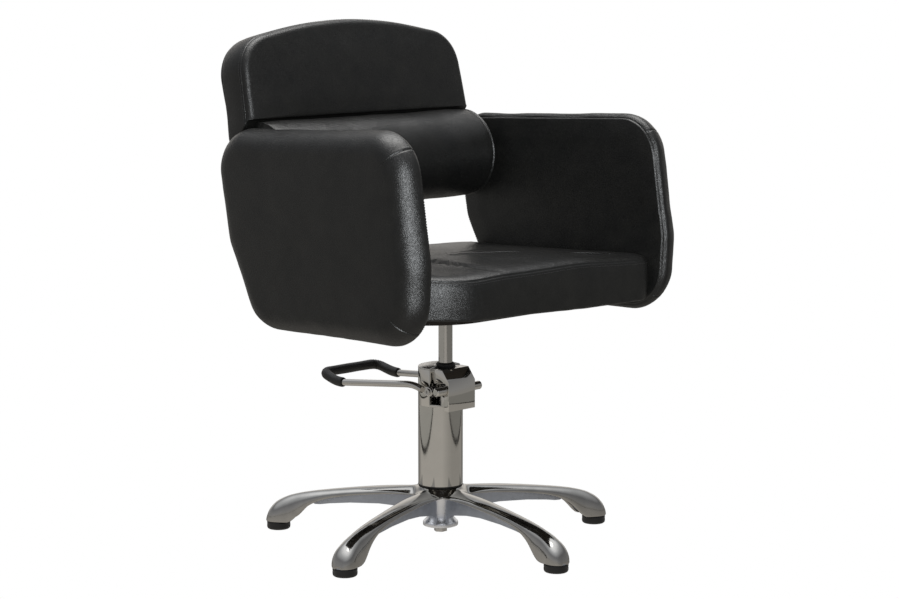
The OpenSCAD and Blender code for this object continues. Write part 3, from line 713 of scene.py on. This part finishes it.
def back_circles(low, foot_half, foot_round, inset=0.0, arch_inset=0.0):
    """Circles whose hull outlines the back: an arched top with rounded corners, down to low."""
    circles = []
    for side in (-1, 1):
        circles.append((side * (BACK_HALF - BACK_ROUND), BACK_TOP - BACK_ARCH - BACK_ROUND,
                        BACK_ROUND - inset))
        circles.append((side * (foot_half - foot_round), low + foot_round, foot_round))
    for x in np.linspace(-180, 180, 19):
        arch = BACK_ARCH * (x / (BACK_HALF - BACK_ROUND)) ** 2
        circles.append((x, BACK_TOP - arch - ARCH_ROUND, ARCH_ROUND - arch_inset))
    return circles


def build_upper_cushion():
    """The back's main cushion, with a seam and a row of stitches round its front."""
    low = 46
    at, out = hull_outline(back_circles(low, BACK_HALF + BACK_FLARE, 14), 400)[:2]
    centre = np.array([0.0, 150.0])
    rings = []

    def slanted(y, s):
        """The bottom slants, so that its front edge ends in the crease above the bolster."""
        front = np.clip((22 - y) / 30, 0, 1)
        return s + (CREASE - low) * front * np.clip((low + 42 - s) / 42, 0, 1)

    def ring(y, off, share=1.0):
        p = centre + (at + off * out - centre) * share
        rings.append(in_back(np.column_stack([p[:, 0], np.full(len(p), y), slanted(y, p[:, 1])])))

    for share in (0.05, 0.13, 0.22, 0.32, 0.42, 0.52, 0.62, 0.72, 0.82, 0.91):
        ring(-14.0 - 2.0 * (1 - share ** 2), -12.5, share)
    for off, y in ((-12.5, -14.0), (-10.5, -13.6), (-8.5, -13.0), (-6.6, -12.0), (-5, -10.7), (-3.6, -8.8),
                   (-2.6, -7.0), (-1.9, -5.2)):
        ring(y, off)
    ring(-3.6, -2.2)
    seam_index = len(rings)
    ring(-2.7, -2.6)
    for off, y in ((-1.6, -2.2), (-0.9, -1.2), (-0.5, 0.6), (-0.2, 3.5), (0.3, 8), (0.8, 14), (1.2, 22),
                   (1.2, 30), (0.8, 38), (0.2, 45), (-0.6, 49), (-2, 51.4), (-4.5, 52.6)):
        ring(y, off)
    for share in (0.9, 0.7, 0.5, 0.3, 0.1):
        ring(52.6, -4.5, share)
    piece = add_pad("upper_cushion_upholstery", rings, "upper_cushion")
    swell(piece, 0.005, rings[seam_index], 0.04)

    def detail(co, normal):
        shift = 0.5 * ripple(co, 140, 41) + 0.15 * ripple(co, 45, 42)
        return normal * shift[:, None]

    move_verts(piece, detail)
    p = at - 0.4 * out
    y, s = np.full(len(p), 1.4), slanted(1.4, p[:, 1])
    path = in_back(np.column_stack([p[:, 0], y, s]))
    tip = in_back(np.column_stack([p[:, 0] + out[:, 0], y, s + out[:, 1]]))
    stitch_row("upper_cushion_stitch_front", path, tip - path, pitch=4.2, length=2.8, radius=0.38)


def build_bolster():
    """The lumbar roll, with a raised seam and a bulging panel at each end."""
    sides = 132
    turn = np.linspace(0, 2 * math.pi, sides, endpoint=False)
    drawn_half, rear_flat = 254, 37.6

    def ring(x, r):
        y = np.minimum(r * np.cos(turn), rear_flat - (BOLSTER_R - r) * 0.3)
        s = r * np.sin(turn)
        return in_back(np.column_stack([np.full(sides, x), y, s]))

    # (x, radius) of one end, from its middle outwards and over its raised seam
    end = [(259.6, 8), (259.5, 22), (259.0, 36), (258.2, 48), (257.2, 58), (255.8, 67), (254.4, 73),
           (253.5, 76.2), (253.2, 77.8), (253.3, 79.0), (252.8, 80.2), (251.9, 80.3), (251.0, 79.4),
           (250.2, 78.5), (249.2, 78.5), (247, 79.0), (243, 79.6), (236, 80.0)]
    middle = [(x, BOLSTER_R + 0.9 * (1 - (x / 240) ** 2)) for x in np.linspace(228, -228, 58)]
    profile = end + middle + [(-x, r) for x, r in reversed(end)]
    rings = [ring(x * BOLSTER_HALF / drawn_half, r) for x, r in profile]
    piece = add_pad("lumbar_bolster_upholstery", rings, "lumbar_bolster")
    seam_index = 12
    swell(piece, 0.003, np.vstack([rings[seam_index], rings[-1 - seam_index]]), 0.05)

    def detail(co, normal):
        gap = np.abs(np.abs(co[:, 0]) - 251.5 * BOLSTER_HALF / drawn_half)
        shift = 0.5 * ripple(co, 110, 51) + 0.2 * ripple(co, 40, 52)
        shift += 0.5 * np.exp(-(gap / 14) ** 1.4) * ripple(co, 15, 53) * (gap > 1.5)
        return normal * shift[:, None]

    move_verts(piece, detail)


def build_back_cover():
    """The upholstered rear panel, laid over the board and the bars of the brackets."""
    circles = back_circles(low=-64, foot_half=248, foot_round=24, inset=4, arch_inset=4.5)
    at, out = hull_outline(circles, 320)[:2]
    centre = np.array([0.0, 95.0])
    rings = []

    def ring(y, off, share=1.0):
        p = centre + (at + off * out - centre) * share
        rings.append(in_back(np.column_stack([p[:, 0], np.full(len(p), y), p[:, 1]])))

    for share in (0.1, 0.3, 0.5, 0.7, 0.9):
        ring(50.4, -6, share)
    for off, y in ((-3, 50.4), (-1, 50.9), (0, 52.0), (0.5, 53.4), (0.3, 54.8), (-0.6, 56.0), (-1.8, 56.9),
                   (-3.2, 57.1), (-4.2, 56.6), (-5.0, 56.6), (-6.2, 57.6), (-8, 58.4), (-12, 59.0),
                   (-20, 59.5), (-34, 60.0)):
        ring(y, off)
    for share in (0.92, 0.82, 0.7, 0.58, 0.46, 0.34, 0.22, 0.1):
        ring(60.0 + 1.0 * (1 - share), -34, share)
    piece = add_pad("back_cover_upholstery", rings, "back_cover")
    move_verts(piece, lambda co, no: no * (0.4 * ripple(co, 120, 61) + 0.12 * ripple(co, 40, 62))[:, None])
    p = at - 2.4 * out
    path = in_back(np.column_stack([p[:, 0], np.full(len(p), 57.0), p[:, 1]]))
    tip = in_back(np.column_stack([p[:, 0], np.full(len(p), 58.0), p[:, 1]]))
    stitch_row("back_cover_topstitch", path, tip - path)


build_upper_cushion()
build_bolster()
build_back_cover()


# ---------------------------------------------------------------- star base

COLUMN_Y = 12.5
BASE_TURN = -4.7
LEGS = 5
GLIDE_REACH = 300
PAD_R = 22.6


def leg_frame(points, index):
    """From a leg's frame (along, across, up) to the chair's."""
    a = math.radians(BASE_TURN - 90 + index * 360 / LEGS)
    p = np.array(points, float)
    return np.column_stack([p[:, 0] * math.cos(a) - p[:, 1] * math.sin(a),
                            COLUMN_Y + p[:, 0] * math.sin(a) + p[:, 1] * math.cos(a), p[:, 2]])


def star_sections():
    """Sections of one leg, each a row of points from side to side."""
    half = math.radians(180 / LEGS)
    # centre (along, z), edge (along, across, z), share of the leg's own shape
    hub = [(12, 97, 12, 97), (39.0, 97, 39.0, 97), (40.2, 95.4, 40.2, 94.8), (42.5, 94.4, 42.3, 91.8),
           (45.5, 93.4, 44.6, 88.6), (49, 92.7, 46.8, 85.6), (53, 92.2, 48.6, 83.4)]
    rows = []
    for rc, zc, re, ze in hub:
        rows.append((rc, zc, re * math.cos(half), re * math.sin(half), ze, 0.0))
    rows += [(58, 91.8, 45.0, 26.6, 82.4, 0.25), (64, 91.4, 52, 24.4, 81.4, 0.5),
             (72, 90.8, 62, 22.8, 80.4, 0.72), (83, 90.0, 76, 21.4, 79.4, 0.88),
             (97, 88.9, 94, 20.4, 78.2, 1.0), (110, 87.8, 109, 20.0, 76.8, 1.0)]
    # Each table gives a height or a half width by the distance along the leg
    ridge = [(39, 97), (80, 90.5), (120, 87), (160, 82.6), (200, 77.4), (230, 73), (255, 68.4),
             (270, 64.6), (283, 60.4), (295, 55), (304, 48.6), (311, 41.8), (316, 34.5), (319.5, 26.5),
             (321.6, 19), (322.4, 14.6)]
    widths = [(110, 20), (150, 17.6), (190, 16.6), (220, 16.9), (243, 18.2), (262, 20.0), (280, 21.9),
              (300, PAD_R)]
    lows = [(110, 76.8), (160, 71), (200, 64), (222, 57), (238, 49), (250, 40), (260, 29), (267, 20),
            (273, 15.5), (280, 14.4), (322, 14.4)]

    def curve(table, x):
        t = np.array(table, float)
        return float(np.interp(x, t[:, 0], t[:, 1]))

    def smooth(table, x):
        return np.mean([curve(table, x + d) for d in (-5, -2.5, 0, 2.5, 5)])

    for r in np.arange(120, 296, 8):
        z = smooth(ridge, r)
        rows.append((r, z, r, smooth(widths, r), min(smooth(lows, r), z - 0.3), 1.0))
    # The round end over the glide
    for r in (299, 304, 308.5, 312.5, 316, 318.8, 320.8, 322.0):
        z = curve(ridge, r)
        past = max(0.0, r - GLIDE_REACH) / PAD_R
        w = PAD_R * math.sqrt(max(0.0, 1 - past ** 2))
        rows.append((r, z, r, w, min(smooth(lows, r), z - 0.3), 1.0))
    return rows


def build_star():
    """The base's shell: five legs that flow into the hub, given a wall and smoothed."""
    rows = star_sections()
    across = np.linspace(-1, 1, 27)
    verts, faces = [], []
    for leg in range(LEGS):
        base = len(verts)
        for rc, zc, along, side, low, own in rows:
            reach, angle = math.hypot(along, side), math.atan2(side, along)
            blend = (1 - np.cos(math.pi * across)) / 2
            radius = rc + (reach - rc) * blend
            hub = np.column_stack([radius * np.cos(angle * across), radius * np.sin(angle * across),
                                   zc + (low - zc) * blend])
            bend = across * math.pi / 2
            shape = np.column_stack([rc + (along - rc) * across ** 2, side * np.sin(bend),
                                     low + (zc - low) * np.clip(np.cos(bend), 0, 1) ** 0.72])
            verts += list(leg_frame(hub * (1 - own) + shape * own, leg) * MM)
        for i in range(len(rows) - 1):
            for j in range(len(across) - 1):
                a = base + i * len(across) + j
                faces.append((a, a + 1, a + 1 + len(across), a + len(across)))
    piece = add_piece("star_base_shell", verts, faces, "base", POLISHED, ("star_base",))
    bm = bmesh.new()
    bm.from_mesh(piece.data)
    bmesh.ops.remove_doubles(bm, verts=bm.verts, dist=2e-5)
    bmesh.ops.recalc_face_normals(bm, faces=bm.faces)
    up = sum(1 if f.normal.z > 0 else -1 for f in bm.faces)
    if up < 0:
        bmesh.ops.reverse_faces(bm, faces=bm.faces)
    bm.to_mesh(piece.data)
    bm.free()
    modified(piece, "SOLIDIFY", thickness=0.0032, offset=-1.0, use_even_offset=False)
    modified(piece, "SUBSURF", levels=1)
    piece.data.shade_smooth()


def build_webs():
    """Cast webs under the legs, the middle boss, and the soles that the glides screw into."""
    profile = [(14, 33), (20, 38), (34, 47), (74, 54), (111, 56.5), (166, 55), (205, 51.5), (222, 49),
               (231, 49), (236, 51.5), (234, 57), (222, 62), (200, 67), (160, 76), (110, 82), (60, 86),
               (40, 88), (14, 88)]
    verts, faces = [], []
    steps = [(-4.8, 1.6), (-4.4, 0.5), (-3.2, 0.0), (3.2, 0.0), (4.4, 0.5), (4.8, 1.6)]
    p = np.array(profile, float)
    middle = p.mean(axis=0)
    for leg in range(LEGS):
        rings = []
        for x, inset in steps:
            q = p + (middle - p) / np.linalg.norm(middle - p, axis=1)[:, None] * inset
            rings.append(leg_frame(np.column_stack([q[:, 0], np.full(len(q), x), q[:, 1]]), leg) * MM)
        start = add_loft(verts, faces, rings, ends=())
        last = start + (len(steps) - 1) * len(p)
        faces.append(tuple(range(start, start + len(p))))
        faces.append(tuple(range(last, last + len(p))))
        sole = lathe([(6, 14.2), (18.6, 14.2), (20.4, 14.8), (20.8, 16.4), (20.2, 20), (6, 20)],
                     (GLIDE_REACH, 0, 0), 48)
        add_loft(verts, faces, [leg_frame(r, leg) * MM for r in sole])
    add_piece("star_base_webs", verts, faces, "base", CAST, sharp=35)
    boss = [(8.2, 24), (29, 24), (30.6, 24.6), (31, 25.6), (31, 29.6), (30.4, 31), (28.6, 33), (24.5, 37),
            (22.3, 42), (21.5, 48), (21.3, 60), (21.6, 67), (23.5, 73), (27, 79), (34, 84)]
    verts, faces = loft([r * MM for r in lathe(boss, (0, COLUMN_Y, 0))], ends=())
    add_piece("star_base_boss", verts, faces, "base", TURNED, sharp=35)


def build_glides():
    profile = [(5, 0.0), (16, 0.0), (18.6, 0.3), (20.2, 1.6), (20.9, 3.6), (21.0, 6.5), (20.7, 9.0),
               (20.9, 10.4), (21, 12.0), (20.6, 13.4), (19.6, 14.0), (5, 14.0)]
    verts, faces = [], []
    for leg in range(LEGS):
        add_loft(verts, faces, [leg_frame(r, leg) * MM for r in lathe(profile, (GLIDE_REACH, 0, 0), 56)])
    add_piece("floor_glides_detail", verts, faces, "base", PLASTIC, ("floor_glides",),
              sharp=50)


build_star()
build_webs()
build_glides()


# ---------------------------------------------------------------- pedal

def pedal_points(corners, radius):
    """The pedal's path through both sides, with rounded corners, in the chair's frame."""
    p = np.array(corners + [[-x, y, z] for x, y, z in reversed(corners)], float)
    path = [p[0]]
    for i in range(1, len(p) - 1):
        a = p[i] + radius * (p[i - 1] - p[i]) / np.linalg.norm(p[i - 1] - p[i])
        b = p[i] + radius * (p[i + 1] - p[i]) / np.linalg.norm(p[i + 1] - p[i])
        for t in np.linspace(0, 1, 11):
            path.append((1 - t) ** 2 * a + 2 * t * (1 - t) * p[i] + t * t * b)
    path.append(p[-1])
    path = np.array(path)
    path[:, 1] += COLUMN_Y
    return resample(path, 1.5)


PEDAL = [[53, -9, 274.5], [52, 14, 281], [69.5, 190, 264], [66, 234, 276]]
PEDAL_ROUND = 18
EYE_Y, EYE_Z, EYE_R = -22, 272, 8.6


def build_pedal():
    """The bent rod, with a flattened eye at each of its ends."""
    path = pedal_points(PEDAL, PEDAL_ROUND)
    verts, faces = loft([r * MM for r in sweep(path, 6.0, 32)])
    sides = 64
    turn = np.linspace(0, 2 * math.pi, sides, endpoint=False)
    eye = np.column_stack([EYE_Y + EYE_R * np.cos(turn), EYE_Z + EYE_R * np.sin(turn)])
    tail = np.clip((eye[:, 0] - EYE_Y) / EYE_R, 0, 1) ** 1.5
    eye[:, 0] += 12.5 * tail
    eye[:, 1] = EYE_Z + (eye[:, 1] - EYE_Z) * (1 - 0.42 * tail) + 2.2 * tail
    for side in (-1, 1):
        rings = []
        for x, inset in ((46.1, 0.9), (46.4, 0.3), (47.0, 0.0), (51.2, 0.0), (51.8, 0.3), (52.1, 0.9)):
            q = eye + (np.array([EYE_Y + 2.0, EYE_Z]) - eye) * inset / 9
            rings.append(np.column_stack([np.full(sides, side * x), q[:, 0] + COLUMN_Y, q[:, 1]]) * MM)
        add_loft(verts, faces, rings)
    add_piece("pedal_rod", verts, faces, "pedal", CHROME_ROD, ("pedal_lever",), sharp=50)


def build_grip():
    """The rubber sleeve: thick wall, rolled ends, and small folds inside its bends."""
    path = pedal_points(PEDAL, PEDAL_ROUND)
    sleeve_r, bore_r, mouth_r, sides = 8.75, 6.1, 7.4, 36
    rod = np.array(PEDAL[1], float) - np.array(PEDAL[2], float)
    cut = PEDAL[2][1] + COLUMN_Y + 14 * rod[1] / np.linalg.norm(rod)
    path = path[path[:, 1] > cut]
    path = resample(path, 1.0)
    count = len(path)
    run = np.arange(count)
    tip = np.minimum(run, count - 1 - run)
    radius = np.where(tip < 3, mouth_r + (sleeve_r - mouth_r) * np.sqrt(tip / 3), sleeve_r)
    bend = np.linalg.norm(np.gradient(np.gradient(path, axis=0), axis=0), axis=1)
    bend = np.convolve(bend, np.ones(15) / 15, mode="same")
    radius = radius + 0.35 * np.clip(bend / (bend.max() + 1e-9), 0, 1) * np.sin(run * 1.55)
    radius += 0.12 * np.sin(run / 9.0)
    outer = sweep(path, radius, sides)
    mouth = [path[0] + (path[1] - path[0]) * 0.2, path[-1] + (path[-2] - path[-1]) * 0.2]
    first = sweep(np.array([mouth[0], path[1]]), bore_r, sides)[0]
    last = sweep(np.array([path[-2], mouth[1]]), bore_r, sides)[1]
    verts, faces = loft([r * MM for r in [first] + outer + [last]])
    add_piece("pedal_grip_sleeve", verts, faces, "pedal", GRIP, ("pedal_grip",), sharp=60)


build_pedal()
build_grip()


# ---------------------------------------------------------------- studio

def studio_piece(name, verts, faces, color, hidden_from):
    """A glowing surface of the studio, which some kinds of ray pass through."""
    material, tree, shader = material_nodes(name)
    tree.nodes.remove(shader)
    glow = tree.nodes.new("ShaderNodeEmission")
    glow.inputs["Color"].default_value = (*color, 1)
    link(tree, glow, "Emission", tree.nodes["Material Output"], "Surface")
    mesh = bpy.data.meshes.new(name)
    mesh.from_pydata(verts, [], faces)
    mesh.materials.append(material)
    piece = bpy.data.objects.new(name, mesh)
    bpy.context.scene.collection.objects.link(piece)
    for kind in ("diffuse", "transmission", "shadow", "volume_scatter", hidden_from):
        setattr(piece, "visible_" + kind, False)


def build_studio():
    """A white sweep: a round floor that rises into a wall all round."""
    profile = [(0.01, 0.0), (3.0, 0.0), (7.0, 0.0), (8.5, 0.4), (9.4, 1.4), (9.8, 3.0), (9.8, 9.0),
               (6.0, 13.0), (0.01, 14.0)]
    verts, faces = loft(lathe(profile, (0, 0, -0.0006), 72))
    studio_piece("white_sweep", [tuple(v) for v in verts], faces, (1, 1, 1), "glossy")


def build_paper_edges():
    """The floor beside the white paper, which only mirrors see: a dark edge and a greyer floor."""
    ahead = Vector((-0.7071, -0.7071, 0))
    across = Vector((0.7071, -0.7071, 0))
    below = Vector((0, 0, -0.0003))
    strips = (("paper_edge_left", -0.76, -0.83, 0.02), ("floor_left", -0.83, -6.0, 0.36),
              ("paper_edge_right", 0.83, 0.9, 0.02), ("floor_right", 0.9, 6.0, 0.22))
    for name, first, last, grey in strips:
        corners = [ahead * a + across * b + below for a in (-6, 6) for b in (first, last)]
        studio_piece(name, corners, [(0, 1, 3, 2)], (grey, grey * 0.98, grey * 0.92), "camera")


def build_world():
    """Soft surroundings for reflections, by direction: grey room, bright ceiling, white sweep behind."""
    world = bpy.data.worlds.new("studio")
    bpy.context.scene.world = world
    world.use_nodes = True
    tree = world.node_tree
    background = tree.nodes["Background"]
    where = tree.nodes.new("ShaderNodeTexCoord")
    split = tree.nodes.new("ShaderNodeSeparateXYZ")
    link(tree, where, "Generated", split, "Vector")
    height = tree.nodes.new("ShaderNodeValToRGB")
    ramp = height.color_ramp
    stops = [(0.0, (0.50, 0.47, 0.43)), (0.38, (0.47, 0.45, 0.42)), (0.48, (0.42, 0.405, 0.385)),
             (0.56, (0.40, 0.40, 0.405)), (0.72, (0.28, 0.285, 0.30)), (0.86, (0.75, 0.77, 0.80)),
             (0.95, (1.5, 1.52, 1.56))]
    while len(ramp.elements) < len(stops):
        ramp.elements.new(0.5)
    for element, (at, color) in zip(ramp.elements, stops):
        element.position = at
        element.color = (*color, 1)
    link(tree, ramp_node(tree, split, "Z", 0.0, 1.0, (-1.0, 1.0)), "Result", height, "Fac")
    # The floor is dimmer behind the chair, and so is the room towards the chair's left side
    back = math_node(tree, "ADD", (split, "X"), (split, "Y"))
    side = math_node(tree, "SUBTRACT", (split, "X"), (split, "Y"))
    far = ramp_node(tree, back, "Value", 0.0, 0.8, (0.6, 1.3))
    below = ramp_node(tree, split, "Z", 1.0, 0.0, (-0.06, 0.02))
    floor = math_node(tree, "MULTIPLY", (far, "Result"), (below, "Result"))
    left = ramp_node(tree, side, "Value", 0.0, 0.34, (0.2, 1.2))
    dim = math_node(tree, "MAXIMUM", (floor, "Value"), (left, "Result"))
    # The white sweep shows behind the chair, above its floor
    near = ramp_node(tree, back, "Value", 0.0, 1.0, (0.9, 1.25))
    above = ramp_node(tree, split, "Z", 0.0, 1.0, (0.02, 0.1))
    wall = math_node(tree, "MULTIPLY", (near, "Result"), (above, "Result"))
    under = ramp_node(tree, split, "Z", 1.0, 0.0, (0.3, 0.6))
    white = math_node(tree, "MULTIPLY", (wall, "Value"), (under, "Result"))
    shade = height
    for share, color in ((dim, (0.06, 0.057, 0.052, 1)), (white, (0.9, 0.86, 0.81, 1))):
        mix = tree.nodes.new("ShaderNodeMixRGB")
        mix.inputs["Color2"].default_value = color
        link(tree, share, "Value", mix, "Fac")
        link(tree, shade, "Color", mix, "Color1")
        shade = mix
    link(tree, shade, "Color", background, "Color")
    background.inputs["Strength"].default_value = 1.0


def area_light(name, place, aim, size, power, color, only):
    """A softbox that lights only some of the pieces."""
    data = bpy.data.lights.new(name, "AREA")
    data.shape = "RECTANGLE"
    data.size, data.size_y = size
    data.energy = power
    data.color = color
    lamp = bpy.data.objects.new(name, data)
    bpy.context.scene.collection.objects.link(lamp)
    lamp.location = place
    lamp.rotation_euler = (Vector(aim) - Vector(place)).to_track_quat("-Z", "Y").to_euler()
    group = bpy.data.collections.new(name + "_lit")
    for piece in only:
        group.objects.link(piece)
    lamp.light_linking.receiver_collection = group


build_studio()
build_paper_edges()
build_world()
COOL, WARM = (0.94, 0.975, 1.0), (1.0, 0.985, 0.96)
meshes = [o for o in bpy.data.objects if o.type == "MESH"]
leather_pieces = [o for o in meshes if LEATHER.name in o.data.materials]
other_pieces = [o for o in meshes if o not in leather_pieces]
area_light("front_box", (-2.0, -3.2, 0.95), (-0.3, -0.2, 0.55), (1.4, 2.2), 190, COOL, leather_pieces)
area_light("top_box", (0.2, 0.3, 3.2), (0, 0, 0.5), (2.2, 1.8), 95, WARM, leather_pieces)
area_light("metal_box", (-0.6, -0.4, 3.0), (0, 0, 0.1), (0.9, 0.9), 12, WARM, other_pieces)

camera_data = bpy.data.cameras.new("camera")
camera_data.lens = 92.865
camera_data.sensor_width = 36
camera = bpy.data.objects.new("camera", camera_data)
bpy.context.scene.collection.objects.link(camera)
camera.location = (-2.8172, -2.8271, 1.0151)
camera.rotation_euler = (math.radians(81.622), 0, math.radians(-45))
bpy.context.scene.camera = camera
bpy.context.scene.view_settings.view_transform = "Standard"
